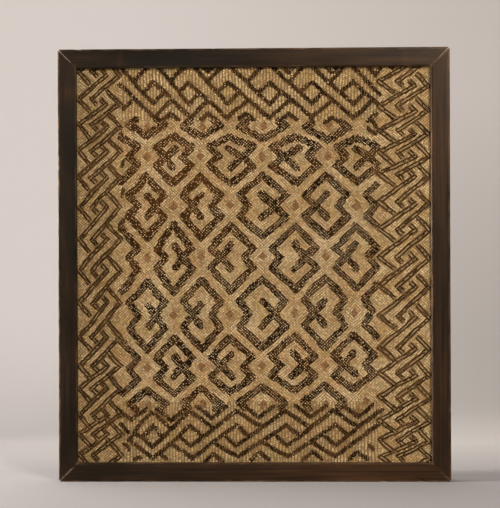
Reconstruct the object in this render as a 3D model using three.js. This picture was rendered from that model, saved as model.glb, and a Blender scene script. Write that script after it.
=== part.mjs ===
// A raffia cloth panel held in a flat wooden frame that stands upright on its bottom rail.
// Millimetres, +Z up. The cloth faces -Y, and the origin is the middle of the underside.

import * as THREE from 'three';

// The frame as it stands
const FRAME_WIDTH = 600;
const FRAME_HEIGHT = 663;

// Rail section: a flat face, eased front edges, and a groove in the inner edge that takes the cloth
const RAIL_FACE = 29;
const RAIL_DEPTH = 32;
const EASED_EDGE = 1.2;
const FRONT_LIP = 8;
const MITRE_GAP = 0.3;

// The cloth, cut larger than the opening so that all four of its edges lie in the groove
const CLOTH_THICKNESS = 2;
const CLOTH_TUCK = 10;
const CLOTH_CLEARANCE = 0.3;
const CLOTH_CELL = 28;

// Soft swells of the stretched cloth: place from the middle of the cloth, reach and height,
// where a swell of positive height stands towards the viewer
const CLOTH_SWELLS = [
  { x: -150, z: 170, reach: 150, height: 0.8 },
  { x: 130, z: 60, reach: 170, height: -0.9 },
  { x: -60, z: -120, reach: 140, height: -0.6 },
  { x: 170, z: -200, reach: 130, height: 0.9 },
  { x: 60, z: 230, reach: 110, height: 0.5 },
];

const GROOVE_WIDTH = CLOTH_THICKNESS + 2 * CLOTH_CLEARANCE;
const GROOVE_DEPTH = CLOTH_TUCK + CLOTH_CLEARANCE;
const OPENING_WIDTH = FRAME_WIDTH - 2 * RAIL_FACE;
const OPENING_HEIGHT = FRAME_HEIGHT - 2 * RAIL_FACE;
const CLOTH_WIDTH = OPENING_WIDTH + 2 * CLOTH_TUCK;
const CLOTH_HEIGHT = OPENING_HEIGHT + 2 * CLOTH_TUCK;
const CLOTH_PLANE_Y = -RAIL_DEPTH / 2 + FRONT_LIP + GROOVE_WIDTH / 2;

const stainedWood = new THREE.MeshStandardMaterial({ color: '#35291f', roughness: 0.5, metalness: 0 });
const raffia = new THREE.MeshStandardMaterial({ color: '#a98a5c', roughness: 0.95, metalness: 0 });

// Section of a rail, across from the outer edge to the inner edge and up from the back to the front.
function railSection() {
  const grooveFront = RAIL_DEPTH - FRONT_LIP;
  const grooveBack = grooveFront - GROOVE_WIDTH;
  const grooveFloor = RAIL_FACE - GROOVE_DEPTH;
  const section = new THREE.Shape();
  section.moveTo(0, 0);
  section.lineTo(RAIL_FACE, 0);
  section.lineTo(RAIL_FACE, grooveBack);
  section.lineTo(grooveFloor, grooveBack);
  section.lineTo(grooveFloor, grooveFront);
  section.lineTo(RAIL_FACE, grooveFront);
  section.lineTo(RAIL_FACE, RAIL_DEPTH - EASED_EDGE);
  section.lineTo(RAIL_FACE - EASED_EDGE, RAIL_DEPTH);
  section.lineTo(EASED_EDGE, RAIL_DEPTH);
  section.lineTo(0, RAIL_DEPTH - EASED_EDGE);
  section.closePath();
  return section;
}

// A rail along X with its outer edge the given reach below the middle of the frame. The section is
// drawn out to unit length, then each of its points gets the length that the mitres leave it there.
function mitredRail(outerLength, reach) {
  const rail = new THREE.ExtrudeGeometry(railSection(), { depth: 1, steps: 1, bevelEnabled: false });
  const points = rail.getAttribute('position');
  for (let i = 0; i < points.count; i += 1) {
    const across = points.getX(i);
    const forward = points.getY(i);
    const along = points.getZ(i) - 0.5;
    const length = outerLength - 2 * across - MITRE_GAP * Math.SQRT2;
    points.setXYZ(i, along * length, RAIL_DEPTH / 2 - forward, across - reach);
  }
  rail.computeVertexNormals();
  return rail;
}

// Height of the cloth's swell, which dies away towards the rails so that the edges lie flat.
function swellAt(x, z) {
  const fromSide = OPENING_WIDTH / 2 - Math.abs(x);
  const fromEnd = OPENING_HEIGHT / 2 - Math.abs(z);
  const free = THREE.MathUtils.smoothstep(Math.min(fromSide, fromEnd), 0, 3 * CLOTH_CELL);
  const height = CLOTH_SWELLS.reduce((sum, swell) => {
    const distance = Math.hypot(x - swell.x, z - swell.z);
    return sum + swell.height * Math.exp(-((distance / swell.reach) ** 2));
  }, 0);
  return free * height;
}

function stretchedCloth() {
  const across = Math.round(CLOTH_WIDTH / CLOTH_CELL);
  const up = Math.round(CLOTH_HEIGHT / CLOTH_CELL);
  const cloth = new THREE.BoxGeometry(CLOTH_WIDTH, CLOTH_THICKNESS, CLOTH_HEIGHT, across, 1, up);
  const points = cloth.getAttribute('position');
  for (let i = 0; i < points.count; i += 1) {
    points.setY(i, points.getY(i) - swellAt(points.getX(i), points.getZ(i)));
  }
  cloth.computeVertexNormals();
  return cloth;
}

// Each rail is the bottom one turned about the middle of the frame.
const RAILS = [
  { name: 'rail_bottom', turn: 0, length: FRAME_WIDTH, reach: FRAME_HEIGHT / 2 },
  { name: 'rail_left', turn: Math.PI / 2, length: FRAME_HEIGHT, reach: FRAME_WIDTH / 2 },
  { name: 'rail_top', turn: Math.PI, length: FRAME_WIDTH, reach: FRAME_HEIGHT / 2 },
  { name: 'rail_right', turn: -Math.PI / 2, length: FRAME_HEIGHT, reach: FRAME_WIDTH / 2 },
];

const framedCloth = new THREE.Group();
framedCloth.position.set(0, 0, FRAME_HEIGHT / 2);

for (const { name, turn, length, reach } of RAILS) {
  const rail = new THREE.Mesh(mitredRail(length, reach), stainedWood.clone());
  rail.name = name;
  rail.rotation.y = turn;
  framedCloth.add(rail);
}

const cloth = new THREE.Mesh(stretchedCloth(), raffia);
cloth.name = 'cloth';
cloth.position.y = CLOTH_PLANE_Y;
framedCloth.add(cloth);

export default framedCloth;
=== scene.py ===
# %% [markdown]
# # An embroidered raffia panel in a dark wooden frame
#
# The real panel is a plain raffia cloth, woven on a small loom and then covered from edge to edge
# with needlework: black-brown knots and plaits, and straw-coloured rows that fill the ground between
# them. Four mitred rails hold it by its edges. The solids already give the rails and the cloth their
# size and place. This lesson adds what the eye looks for: every stitch, the weave behind, and worn,
# stained wood. Lengths in the charts are millimetres, and Blender gets metres.

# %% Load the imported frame
import math

import bpy
import numpy as np
from mathutils import Matrix, Vector
from mathutils.bvhtree import BVHTree


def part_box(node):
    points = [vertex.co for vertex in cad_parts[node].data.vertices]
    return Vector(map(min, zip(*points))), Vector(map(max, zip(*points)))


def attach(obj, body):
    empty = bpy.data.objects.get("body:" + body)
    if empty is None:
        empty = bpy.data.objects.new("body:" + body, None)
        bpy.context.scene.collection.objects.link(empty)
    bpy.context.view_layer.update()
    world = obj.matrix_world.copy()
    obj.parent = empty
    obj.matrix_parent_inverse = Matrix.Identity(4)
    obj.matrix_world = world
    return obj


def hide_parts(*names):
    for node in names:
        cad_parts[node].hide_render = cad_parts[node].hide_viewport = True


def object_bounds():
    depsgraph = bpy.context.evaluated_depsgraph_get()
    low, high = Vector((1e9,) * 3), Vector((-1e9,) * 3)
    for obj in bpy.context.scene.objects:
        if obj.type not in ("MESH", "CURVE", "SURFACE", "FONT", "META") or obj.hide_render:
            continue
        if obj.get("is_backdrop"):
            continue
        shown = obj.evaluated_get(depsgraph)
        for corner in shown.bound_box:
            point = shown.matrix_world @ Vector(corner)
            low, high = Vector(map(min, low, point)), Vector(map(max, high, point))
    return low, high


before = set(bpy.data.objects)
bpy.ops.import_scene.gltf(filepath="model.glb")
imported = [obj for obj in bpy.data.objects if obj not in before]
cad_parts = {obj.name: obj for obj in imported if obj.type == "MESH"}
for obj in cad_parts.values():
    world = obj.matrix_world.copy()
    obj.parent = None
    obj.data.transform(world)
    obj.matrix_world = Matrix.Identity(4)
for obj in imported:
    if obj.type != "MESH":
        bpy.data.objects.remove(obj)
cad_low, cad_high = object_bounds()
MM = 0.001
print("frame box in mm:", [round(v / MM) for v in (*cad_low, *cad_high)])

# %% [markdown]
# ## Sizes that the frame gives
#
# A chart for needlework has to fit the cloth that it is worked on, so the opening between the rails
# and the cut size of the cloth are measured on the solids. A tree of the cloth's faces tells how far
# forward the cloth stands at any place, because it is stretched by hand and not quite flat.

# %% Measure the opening and the cloth
cloth_low, cloth_high = (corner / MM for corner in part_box("cloth"))
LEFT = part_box("rail_left")[1].x / MM
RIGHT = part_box("rail_right")[0].x / MM
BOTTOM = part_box("rail_bottom")[1].z / MM
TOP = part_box("rail_top")[0].z / MM
cloth_tree = BVHTree.FromObject(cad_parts["cloth"], bpy.context.evaluated_depsgraph_get())
IN_FRONT = cad_low.y - 0.1


def cloth_face(x, z):
    """How far forward the cloth's face lies, in mm, at each place of two equal lists."""
    found = []
    for across, up in zip(x, z):
        hit = cloth_tree.ray_cast(Vector((across * MM, IN_FRONT, up * MM)), Vector((0, 1, 0)))[0]
        found.append(hit.y / MM)
    return np.array(found)


print("opening", round(RIGHT - LEFT), "by", round(TOP - BOTTOM), "mm")

# %% [markdown]
# ## Lines of the pattern
#
# Everything dark on this cloth is a line of a certain breadth: broad strokes in the middle field and
# narrow plaits in the borders. So the chart is a list of straight stretches, each with the style
# it is worked in. A style says how far the line reaches to each side and how large its stitches are.
# The side plaits are worked in three rows along the line, and part of the middle row, their core,
# is left in straw.

# %% Styles of line
STYLES = {
    "knot": dict(half=5.2, length=3.2, width=3.3),
    "left_plait": dict(
        half=3.7, length=4.0, width=3.0, rows=(-2.3, 0, 2.3), pitch=3.7, core=0.6, core_width=0.55
    ),
    "right_plait": dict(
        half=3.8, length=4.0, width=2.8, rows=(-2.45, 0, 2.45), pitch=3.7, core=0.95, core_width=0.65
    ),
    "end_plait": dict(half=2.9, length=3.0, width=2.7),
}
lines = []


def draw(style, *points):
    """Adds the straight stretches between the points to the chart."""
    for start, end in zip(points, points[1:]):
        lines.append(dict(style=style, start=np.array(start, float), end=np.array(end, float)))


print(len(STYLES), "styles of line")

# %% [markdown]
# ## Knots of the field
#
# The field is one knot over and over, in rows set like bricks. The worker measured nothing, so columns
# and rows drift. An array modifier would space them evenly, so the chart gives the drift as it is:
# columns across, and for each row the heights of its tip, corners, waist and foot, at the left and at
# the right of the field.

# %% Chart the columns and rows
COLUMNS_HEAD = (-206, -164, -123, -81, -36, 14, 65, 113, 160, 207)
COLUMNS_FOOT = (-206, -164, -123, -81, -37, 12, 62, 108, 152, 198)
HEAD_ROW, FOOT_ROW = 500, 175
ROWS = (
    dict(first=0, tip=(537, 532), upper=(514, 511), waist=(498, 497), lower=(485, 483), foot=(449, 451)),
    dict(first=1, tip=(474, 475), upper=(439, 439), waist=(423, 422), lower=(406, 406), foot=(367, 369)),
    dict(first=0, tip=(400, 398), upper=(357, 356), waist=(344, 344), lower=(325, 328), foot=(281, 290)),
    dict(first=1, tip=(312, 320), upper=(274, 280), waist=(253, 260), lower=(233, 241), foot=(192, 201)),
    dict(first=0, tip=(223, 233), upper=(187, 195), waist=(174, 179), lower=(156, 163), foot=(125, 136)),
)
CORNER_GAP = 14.5


def column_at(column, height):
    """Where a column of knots stands at a height: the columns on the right lean inwards at the foot."""
    share = (HEAD_ROW - height) / (HEAD_ROW - FOOT_ROW)
    return (1 - share) * COLUMNS_HEAD[column] + share * COLUMNS_FOOT[column]


def level(ends, x):
    """A height that drifts from the first of two values, on the field's left, to the second on its right."""
    return np.interp(x, (COLUMNS_HEAD[0], COLUMNS_HEAD[-1]), ends)


def sides_of(column, height):
    """The column's place, and its corners to the left and to the right, short of its neighbours."""
    places = [column_at(number, height) for number in range(len(COLUMNS_HEAD))]
    middle = places[column]
    left = places[column - 1] if column > 0 else 2 * middle - places[1]
    right = places[column + 1] if column + 1 < len(places) else 2 * middle - places[-2]
    return middle, left + CORNER_GAP, right - CORNER_GAP


print(len(COLUMNS_HEAD), "columns,", len(ROWS), "rows")

# %% [markdown]
# ## One knot
#
# A knot is a single line: from its top it runs out to a corner, in to the waist, out again and down to
# its foot, and back up the other side. On one side the two lines cross at the waist and their ends run
# on into the knot as short stubs. The letters say on which side each knot of a row crosses. One
# function draws them all, with lengths that are shares of the knot's own width where they must be.

# %% Chart the knots
CROSSED = ("LLRLR", "RLRLR", "LRLRL", "RLRLR", "LRLRL")
FIELD_LEFT, FIELD_RIGHT = -203, 188
NOTCH = 13.5
CROSSED_NOTCH_SHARE = 0.5
STUB_SHARE = 0.74
STUB_RISE = 5
POINT = 7
LEAST_SHARE = 0.05


def cut_to_field(*points):
    """Draws the slanting stretches of a knot, but only where they lie between the side borders."""
    for start, end in zip(points, points[1:]):
        start, end = np.array(start, float), np.array(end, float)
        run = end[0] - start[0]
        bounds = sorted(((FIELD_LEFT - start[0]) / run, (FIELD_RIGHT - start[0]) / run))
        first, last = np.clip(bounds, 0, 1)
        if last - first > LEAST_SHARE:
            draw("knot", start + first * (end - start), start + last * (end - start))


def knot(column, row, crossed):
    """Draws one knot. The ends that run on from its crossing lie along the sides of the knot."""
    middle, left, right = sides_of(column, row["waist"][0])
    heights = {name: level(ends, middle) for name, ends in row.items() if name != "first"}
    tip, foot = (middle, heights["tip"] - POINT), (middle, heights["foot"] + POINT)
    half_width = (right - left) / 2
    for side, corner in (("L", left), ("R", right)):
        inward = 1 if side == "L" else -1
        upper, lower = (corner, heights["upper"]), (corner, heights["lower"])
        notch = CROSSED_NOTCH_SHARE * half_width if side == crossed else NOTCH
        waist = (corner + inward * notch, heights["waist"])
        cut_to_field(tip, upper, waist, lower, foot)
        if side == crossed:
            for near, far, up in ((upper, tip, 1), (lower, foot, -1)):
                way = np.subtract(far, near) + (0, up * STUB_RISE)
                cut_to_field(waist, waist + STUB_SHARE * half_width * way / np.linalg.norm(way))


for row, letters in zip(ROWS, CROSSED):
    for place, crossed in enumerate(letters):
        knot(row["first"] + 2 * place, row, crossed)
print(len(lines), "stretches in the whole knots")

# %% [markdown]
# ## Part knots and the diamonds between
#
# The field is cut off by the end borders, so half knots stand along its top and its foot. Small
# rust-brown diamonds mark the middle of each place where four knots meet. They are only a change of
# dye in the straw, so the chart keeps their places for later.

# %% Chart the part knots and the rust diamonds
HEAD_HALF = dict(corner=(549, 540), point=(531, 519), arm=(11, 7))
FOOT_HALF = dict(corner=(118, 122), point=(138, 150), arm=(8, -8))
HALF_COLUMNS = (1, 3, 5, 7)


def half_knot(column, half):
    middle, left, right = sides_of(column, half["corner"][0])
    corner, point = level(half["corner"], middle), level(half["point"], middle)
    inward, turn = half["arm"]
    start, end = (left + inward, corner + turn), (right - inward, corner + turn)
    cut_to_field(start, (left, corner), (middle, point), (right, corner), end)


for column in HALF_COLUMNS:
    half_knot(column, HEAD_HALF)
    half_knot(column, FOOT_HALF)

DOT_HALF = (6.0, 8.0)
END_DOTS = (dict(column_height=546, z=544), dict(column_height=118, z=117))
END_DOT_SHIFT = 2
CORNER_DOTS = [(170, 122), (158, 108)]
dots = []
for row in ROWS:
    for column in range(1 + row["first"], len(COLUMNS_HEAD) - 1, 2):
        middle = column_at(column, row["waist"][0])
        dots.append((middle, level(row["waist"], middle)))
for column in HALF_COLUMNS:
    dots += [(column_at(column, dot["column_height"]) + END_DOT_SHIFT, dot["z"]) for dot in END_DOTS]
dots += CORNER_DOTS
print(len(lines), "stretches,", len(dots), "rust diamonds")

# %% [markdown]
# ## Plaits of the side borders
#
# Each side border is a plait of hooked arms. From every tip a short arm runs back, and a long arm
# crosses the border and turns in at a hook. The tips stand closer together towards the ends, and
# the right-hand plait is wider than the left-hand one. Both are drawn by one function.

# %% Chart the side borders
LEFT_PLAIT = dict(
    style="left_plait", left=-269, right=-205, left_hook=-249, right_hook=-226,
    left_tips=(700, 666, 630, 587, 548, 509, 467, 421, 372, 323, 274, 221, 177, 142, 102, 72, 40, 10),
    right_tips=(695, 660, 624, 579, 544, 507, 467, 421, 372, 323, 274, 221, 177, 142, 102, 72, 40, 10),
    back=(20, 22), start=(15, 18), turn=(7, 7.5),
)
RIGHT_PLAIT = dict(
    style="right_plait", left=192, right=268, left_hook=220, right_hook=247,
    left_tips=(688, 650, 612, 574, 537, 503, 470, 427, 386, 343, 299, 253, 204, 165, 129, 94, 63, 37, 10),
    right_tips=(682, 643, 604, 566, 530, 497, 466, 424, 383, 340, 296, 250, 201, 162, 126, 91, 60, 34, 7),
    back=(16, 17), start=(23, 18), turn=(7, 7),
)


def side_border(plait):
    style, turn = plait["style"], plait["turn"]
    left_tips, right_tips = plait["left_tips"], plait["right_tips"]
    for place in range(1, len(left_tips) - 1):
        left = (plait["left"], left_tips[place])
        right = (plait["right"], right_tips[place])
        down = (plait["left_hook"], left_tips[place + 1])
        up = (plait["right_hook"], right_tips[place - 1])
        draw(style, (right[0] - plait["back"][0], right[1] + plait["back"][1]), right)
        draw(style, right, down, (down[0] + turn[0], down[1] - turn[1]))
        draw(style, left, (left[0] + plait["start"][0], left[1] - plait["start"][1]))
        draw(style, left, up, (up[0] - turn[0], up[1] + turn[1]))


side_border(LEFT_PLAIT)
side_border(RIGHT_PLAIT)
print(len(lines), "stretches with the side borders")

# %% [markdown]
# ## Plaits of the end borders
#
# The end borders weave two sets of slanting lines round a row of small diamonds. One line of each
# pair passes under a diamond and the next one over it, and short lines close the loops. The two
# borders are not worked alike, so each has a function of its own.

# %% Chart the end borders
HEAD = dict(
    start=(-203, -146, -89, -32, 31, 92, 154),
    diamond=(-153, -99, -39, 25, 90, 154),
    end=(-152, -97, -39, 25, 90, 153, 212),
    start_z=635, near_z=613, middle_z=597, far_z=579, end_z=558, cross_z=586, drift=-3, half=15,
    knee_reach=21, last_to=(194, 594), first_from=(-205, 609), stray=((-185, 587), (-200, 572)),
)
FOOT = dict(
    start=(-156, -96, -25, 51, 123),
    diamond=(-157, -98, -28, 50, 123, 190),
    end=(-159, -99, -28, 48, 120, 196),
    start_z=35, near_z=52, middle_z=67, far_z=84, end_z=106, cross_z=80, drift=4, half=16,
    low_cross_z=58, rise_from=(-194, 63), knee_from=(-182, 70), fall_from=(-192, 62),
)
HEIGHTS = ("start_z", "near_z", "middle_z", "far_z", "end_z")


def between(start, end, height):
    """The point of a straight line at a given height."""
    share = (height - start[1]) / (end[1] - start[1])
    return (start[0] + share * (end[0] - start[0]), height)


def slanted(chart, *points):
    """Draws a plait of an end border, which drifts up or down from left to right."""
    draw("end_plait", *[(x, z + chart["drift"] * (x - FIELD_LEFT) / (RIGHT - LEFT)) for x, z in points])


def head_border(chart):
    start_z, near_z, middle_z, far_z, end_z = (chart[name] for name in HEIGHTS)
    for place, middle in enumerate(chart["diamond"]):
        under = (chart["start"][place], start_z), (middle, far_z)
        over = (middle, near_z), (chart["end"][place + 1], end_z)
        knee = between(*under, near_z)
        slanted(chart, *under, (middle + chart["half"], middle_z - 1))
        slanted(chart, between(*under, middle_z), *over)
        slanted(chart, knee, (knee[0] + chart["knee_reach"], start_z))
        slanted(chart, (chart["end"][place], end_z), between(*over, chart["cross_z"]))
    slanted(chart, (chart["start"][-1], start_z), chart["last_to"])
    slanted(chart, chart["first_from"], (chart["end"][0], end_z))
    slanted(chart, *chart["stray"])


def foot_border(chart):
    start_z, near_z, middle_z, far_z, end_z = (chart[name] for name in HEIGHTS)
    for place, low in enumerate(chart["start"]):
        middle, following = chart["diamond"][place : place + 2]
        under = (middle, near_z), (chart["end"][place + 1], end_z)
        over = (low, start_z), (following, far_z)
        slanted(chart, (middle - chart["half"], middle_z), *under)
        slanted(chart, *over)
        slanted(chart, (middle, far_z), between(*under, middle_z))
        slanted(chart, (chart["end"][place], end_z), between(*under, chart["cross_z"]))
    for place, low in enumerate(chart["start"][1:]):
        over = (chart["start"][place], start_z), (chart["diamond"][place + 1], far_z)
        slanted(chart, between(*over, chart["low_cross_z"]), (low, start_z))
    first = chart["diamond"][0]
    slanted(chart, chart["rise_from"], (chart["end"][0], end_z))
    slanted(chart, chart["knee_from"], (first - chart["half"], middle_z), (first, far_z))
    slanted(chart, chart["fall_from"], (chart["start"][0], start_z))


head_border(HEAD)
foot_border(FOOT)
print(len(lines), "stretches with the end borders")

# %% [markdown]
# ## Loose ends
#
# Where the borders meet the field and the rails, small angles and loose ends are left over. They follow
# no rule, so these are charted one by one: an angle by its point, and a loose end by its middle and
# how far it reaches across and up.

# %% Chart the loose ends
ROOFS = ((-127, 564), (-70, 564), (-10, 564), (55, 562), (121, 557))
CUPS = ((-189, 95), (-128, 93), (-66, 97), (7, 97), (86, 99), (159, 98))
EDGE_ROOFS = ((-63, 41), (7, 43), (88, 44), (158, 45))
EDGE_CUPS = ((-68, 627), (54, 627), (120, 626), (186, 622))
ANGLES = (
    dict(points=ROOFS, wide=11, high=-9), dict(points=CUPS, wide=23, high=17),
    dict(points=EDGE_ROOFS, wide=14, high=-11), dict(points=EDGE_CUPS, wide=9, high=10),
)
for angle in ANGLES:
    wide, high = angle["wide"], angle["high"]
    for x, z in angle["points"]:
        draw("end_plait", (x - wide, z + high), (x, z), (x + wide, z + high))
LOOSE_ENDS = (
    (-203, 531, 1, 4), (-200, 488, 1, 4), (-201, 442, 1, 4), (-203, 398, 3, 3),
    (-200, 82, 5, -6), (-197, 52, 4, -4), (178, 53, 3, -2), (-140, 36, 3, -2), (-181, 35, 4, 1),
    (181, 557, 7, 6), (181, 536, 6, -5), (185, 547, 2, -4),
)
for x, z, across, up in LOOSE_ENDS:
    draw("end_plait", (x - across, z - up), (x + across, z + up))
print(len(lines), "stretches in the whole chart")

# %% [markdown]
# ## How far is the nearest line?
#
# The straw rows run beside the dark lines and must not cover them, and the tufts of a dark line have
# to keep inside it. So two fine maps of the cloth are made: the distance from each cell to the edge of
# the nearest line, and which line that is. Each stretch only touches the part of the maps around it,
# which keeps the work short.

# %% Map the clearance
CELL = 0.5
AROUND = 26
MAP_PAST = 6
map_x = np.arange(LEFT - MAP_PAST, RIGHT + MAP_PAST, CELL)
map_z = np.arange(BOTTOM - MAP_PAST, TOP + MAP_PAST, CELL)
clearance = np.full((len(map_z), len(map_x)), float(AROUND))
owner = np.zeros(clearance.shape, int)


def to_stretch(x, z, line):
    """Distance from places to a straight stretch."""
    along = line["end"] - line["start"]
    share = ((x - line["start"][0]) * along[0] + (z - line["start"][1]) * along[1]) / (along @ along)
    share = np.clip(share, 0, 1)
    return np.hypot(x - line["start"][0] - share * along[0], z - line["start"][1] - share * along[1])


for number, line in enumerate(lines):
    low = np.minimum(line["start"], line["end"]) - AROUND
    high = np.maximum(line["start"], line["end"]) + AROUND
    columns = slice(*np.searchsorted(map_x, (low[0], high[0])))
    rows = slice(*np.searchsorted(map_z, (low[1], high[1])))
    away = to_stretch(map_x[None, columns], map_z[rows, None], line) - STYLES[line["style"]]["half"]
    nearer = away < clearance[rows, columns]
    clearance[rows, columns][nearer] = away[nearer]
    owner[rows, columns][nearer] = number


def on_map(values, places):
    """What a map of the cloth says at places, an array of x and z."""
    column = np.clip(((places[..., 0] - map_x[0]) / CELL).round().astype(int), 0, len(map_x) - 1)
    row = np.clip(((places[..., 1] - map_z[0]) / CELL).round().astype(int), 0, len(map_z) - 1)
    return values[row, column]


def clear_of_lines(places):
    return on_map(clearance, places)


print("share of the cloth that is dark:", round(float((clearance < 0).mean()), 2))

# %% [markdown]
# ## Laying the stitches
#
# A stitch is a place, a direction and a size. The side plaits are worked in rows beside each stretch,
# every other row shifted by half a stitch, as a needle works them. Where two stretches meet, their rows
# would pile up, so a bed remembers what has been laid and leaves out a stitch that comes too close.

# %% A bed for stitches
class StitchBed:
    """Keeps only the stitches that lie clear of those laid before."""

    def __init__(self, cell):
        self.cell = cell
        self.taken = {}

    def lay(self, places, apart):
        kept = np.zeros(len(places), bool)
        for number, (x, z) in enumerate(places):
            column, row = int(x // self.cell), int(z // self.cell)
            near = (
                self.taken.get((column + across, row + up), ())
                for across in (-1, 0, 1)
                for up in (-1, 0, 1)
            )
            if all(math.hypot(x - a, z - b) >= apart for spots in near for a, b in spots):
                self.taken.setdefault((column, row), []).append((x, z))
                kept[number] = True
        return kept


FIRST_STITCH = 0.25
UNDER_RAILS = 2.5
CLOTH_FROM = np.array((LEFT, BOTTOM)) - UNDER_RAILS
CLOTH_TO = np.array((RIGHT, TOP)) + UNDER_RAILS


def row_beside(line, offset, pitch, phase):
    """Places in a row at an offset from a stretch, run on at its ends to turn corners, and its way."""
    along = line["end"] - line["start"]
    span = np.linalg.norm(along)
    way = along / span
    side = np.array((-way[1], way[0]))
    past = abs(offset)
    steps = np.arange(-past + pitch * (FIRST_STITCH + phase % 1), span + past, pitch)
    return line["start"] + steps[:, None] * way + offset * side, way


def on_cloth(places):
    """Which places lie in the opening or just under the edge of the rails."""
    return ((places > CLOTH_FROM) & (places < CLOTH_TO)).all(axis=1)


dark_bed = StitchBed(3.0)
chance = np.random.default_rng(41)
print("stitches lie from", CLOTH_FROM.round(1), "to", CLOTH_TO.round(1))

# %% [markdown]
# ## Tables of stitches
#
# No two stitches by hand are alike: each leans a little, sits a little off its thread, and is longer or
# shorter than the next. So the stitches are kept in tables, with a row for each, and are varied there.
# Chance varies each stitch alone. Soft noise varies whole patches of the work together.

# %% Tables of stitches
LEAN = 0.12
SCATTER = 0.22
SIZES = (0.88, 1.12)
NOISE_CELLS = 64
NOISE_SHIFT = 17.3


def soft_noise(places, size, seed):
    """Smooth noise from 0 to 1 over the cloth, with patches of about the given size in mm."""
    grid = np.random.default_rng(seed).random((NOISE_CELLS, NOISE_CELLS))
    u, v = (places / size + NOISE_SHIFT).T
    column, row = np.floor(u).astype(int), np.floor(v).astype(int)
    a, b = u - column, v - row
    a, b = a * a * (3 - 2 * a), b * b * (3 - 2 * b)
    left, right, low, high = (number % NOISE_CELLS for number in (column, column + 1, row, row + 1))
    lower = grid[low, left] * (1 - a) + grid[low, right] * a
    upper = grid[high, left] * (1 - a) + grid[high, right] * a
    return lower * (1 - b) + upper * b


def stitches_of(places, way, style, pale=0.0):
    """A table of stitches with the sizes of a style. Pale is the share of straw in their colour."""
    count = len(places)
    lean = chance.normal(0, LEAN, count)
    turned = np.stack(
        (way[0] * np.cos(lean) - way[1] * np.sin(lean), way[0] * np.sin(lean) + way[1] * np.cos(lean)), 1
    )
    return dict(
        place=places + chance.normal(0, SCATTER, (count, 2)),
        way=turned,
        length=style["length"] * chance.uniform(*SIZES, count),
        width=style["width"] * chance.uniform(*SIZES, count),
        pale=np.broadcast_to(pale, count).copy(),
    )


def joined(tables):
    return {name: np.concatenate([table[name] for table in tables]) for name in tables[0]}


print("stitches are", SIZES[0], "to", SIZES[1], "times the size of their style")

# %% [markdown]
# ## Dark stitches
#
# The knots are short pile, cut close. The needle goes under one thread of the weave at a time, so the
# tufts stand on its threads like the squares of a chessboard, and on every other square straw may
# show between the dark tufts, more in one place than in another. The end plaits are counted out in the
# same way, with upright stitches. Only the side plaits are worked in rows that follow their lines.
# In one corner of the field the dark dye has faded, and less straw shows there.

# %% Lay the dark stitches
THREADS = (2.34, 2.14)
THREADS_PAST = 2
SPECK = dict(length=1.7, width=2.2)
UPRIGHT = (0.1, 0.995)
FADED = dict(x=-140, z=460, reach=100, fewer_specks=0.35, browner=0.38)
ROW_STITCHES_APART = 1.7
CORE_PALE = (0.5, 0.95)
KNOT_OPEN = dict(least=0.7, more=0.3, size=40, seed=9)
CORE_OPEN = dict(least=0.2, more=0.9, size=16, seed=8)
line_styles = np.array([line["style"] for line in lines])
line_ways = np.array([line["end"] - line["start"] for line in lines])
line_ways = line_ways / np.linalg.norm(line_ways, axis=1)[:, None]


def on_threads():
    """A place at each thread of the weave, and whether it is on the even squares of the chessboard."""
    x = np.arange(LEFT - THREADS_PAST, RIGHT + THREADS_PAST, THREADS[0])
    z = np.arange(BOTTOM - THREADS_PAST, TOP + THREADS_PAST, THREADS[1])
    across, up = (numbers.ravel() for numbers in np.meshgrid(np.arange(len(x)), np.arange(len(z))))
    return np.stack((x[across], z[up]), 1), (across + up) % 2 == 0


def faded(places):
    """How far the dark dye has faded, from 0 to 1: most in one corner of the field."""
    apart = np.hypot(places[:, 0] - FADED["x"], places[:, 1] - FADED["z"])
    return np.exp(-((apart / FADED["reach"]) ** 2))


def opened(places, most, patches):
    """How likely straw is to show at places: more in one patch of the work than in another."""
    return most * (patches["least"] + patches["more"] * soft_noise(places, patches["size"], patches["seed"]))


def counted_tufts(name, most, way=None):
    """Dark stitches, one to a thread, on the lines of a style, and pale ones on top of some of them."""
    places, even = on_threads()
    inside = (line_styles[on_map(owner, places)] == name) & (clear_of_lines(places) < 0)
    places, even = places[inside], even[inside]
    ways = line_ways[on_map(owner, places)] if way is None else np.tile(way, (len(places), 1))
    likely = opened(places, most, KNOT_OPEN) * (1 - FADED["fewer_specks"] * faded(places))
    pale = ~even & (chance.random(len(places)) < likely)
    return stitches_of(places, ways.T, STYLES[name]), stitches_of(places[pale], ways[pale].T, SPECK)


def plait_rows(name):
    """Rows of stitches along the lines of a side plait. In the middle row, its core, some are straw."""
    style = STYLES[name]
    tables = []
    for line in lines:
        if line["style"] != name:
            continue
        for number, offset in enumerate(style["rows"]):
            places, way = row_beside(line, offset, style["pitch"], number / 2)
            places = places[on_cloth(places)]
            places = places[dark_bed.lay(places, ROW_STITCHES_APART)]
            likely = opened(places, style["core"], CORE_OPEN)
            straw = (offset == 0) & (chance.random(len(places)) < likely)
            table = stitches_of(places, way, style, straw * chance.uniform(*CORE_PALE, len(places)))
            if offset == 0:
                table["width"] *= style["core_width"]
            tables.append(table)
    return joined(tables)


knot_stitches, knot_specks = counted_tufts("knot", 1.0)
end_stitches, end_specks = counted_tufts("end_plait", 0.12, UPRIGHT)
plait_stitches = joined([plait_rows("left_plait"), plait_rows("right_plait"), end_stitches])
speck_stitches = joined([knot_specks, end_specks])
print(len(knot_stitches["place"]), "tufts in knots,", len(plait_stitches["place"]), "stitches in plaits")
print(len(speck_stitches["place"]), "pale specks")

# %% [markdown]
# ## Straw rows
#
# In the field and the side borders the straw is counted out on the same threads as the tufts, with each
# stitch lying along the nearest dark line, so that the rows spread from the lines like ripples. In
# the end borders straight ribs run up the cloth. A straw stitch is shortened where it would run into
# a dark line.

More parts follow.
